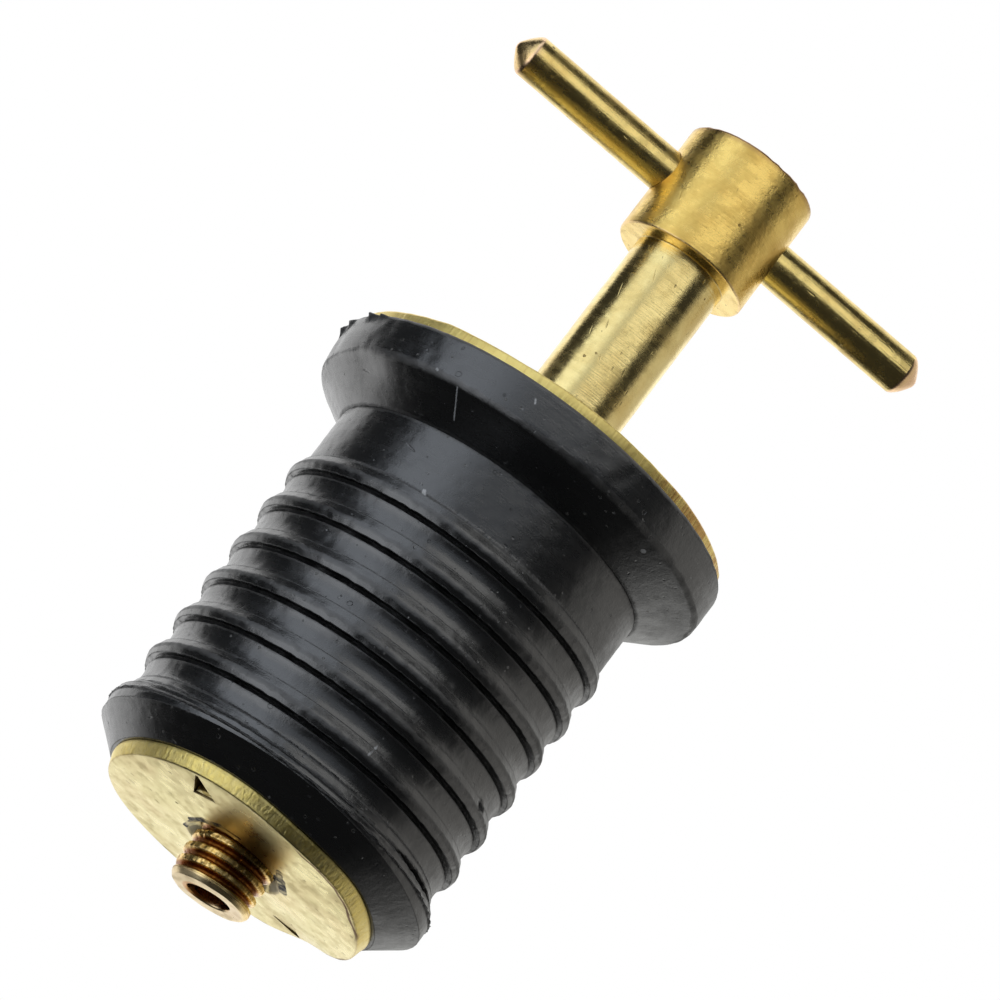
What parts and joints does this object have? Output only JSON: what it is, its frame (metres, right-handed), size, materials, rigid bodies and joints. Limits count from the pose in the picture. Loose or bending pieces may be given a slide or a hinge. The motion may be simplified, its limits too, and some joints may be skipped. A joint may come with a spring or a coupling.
{
  "type": "boat drain plug",
  "caption": "Twist-to-expand drain plug: a T-handle screw draws a threaded plate up and swells a ribbed rubber stopper inside a drain tube.",
  "frame": {"origin": "on the plug's axis, in the corner between the flange's conical underside and the neck, where the drain tube's mouth comes to rest", "axes": "+Z along the axis towards the handle, +X along the cross bar"},
  "size_m": [0.0354, 0.0302, 0.0624],
  "materials": {
    "brass": "turned and drawn brass, semi-bright with fine tool marks",
    "plate_brass": "stamped brass sheet, pale and satin",
    "black_rubber": "moulded black rubber, satin with flash, pits and scuffs"
  },
  "bodies": {
    "stopper": {"rubber_stopper": "black_rubber", "top_washer": "plate_brass"},
    "handle": {"spindle": "brass", "cross_bar": "brass"},
    "plate": {"bottom_plate": "plate_brass"}
  },
  "joints": [
    {"name": "handle_turn", "type": "hinge", "parent": "stopper", "child": "handle", "pos_m": [0, 0, 0], "axis": [0, 0, -1], "range_deg": [-756, 1440]},
    {"name": "plate_draw", "type": "slide", "parent": "stopper", "child": "plate", "axis": [0, 0, 1], "range_m": [-0.0021, 0.004], "deforming": ["rubber_stopper"]}
  ],
  "couplings": [
    {"joint": "plate_draw", "follows": "handle_turn", "m_per_rad": 0.00015915}
  ]
}
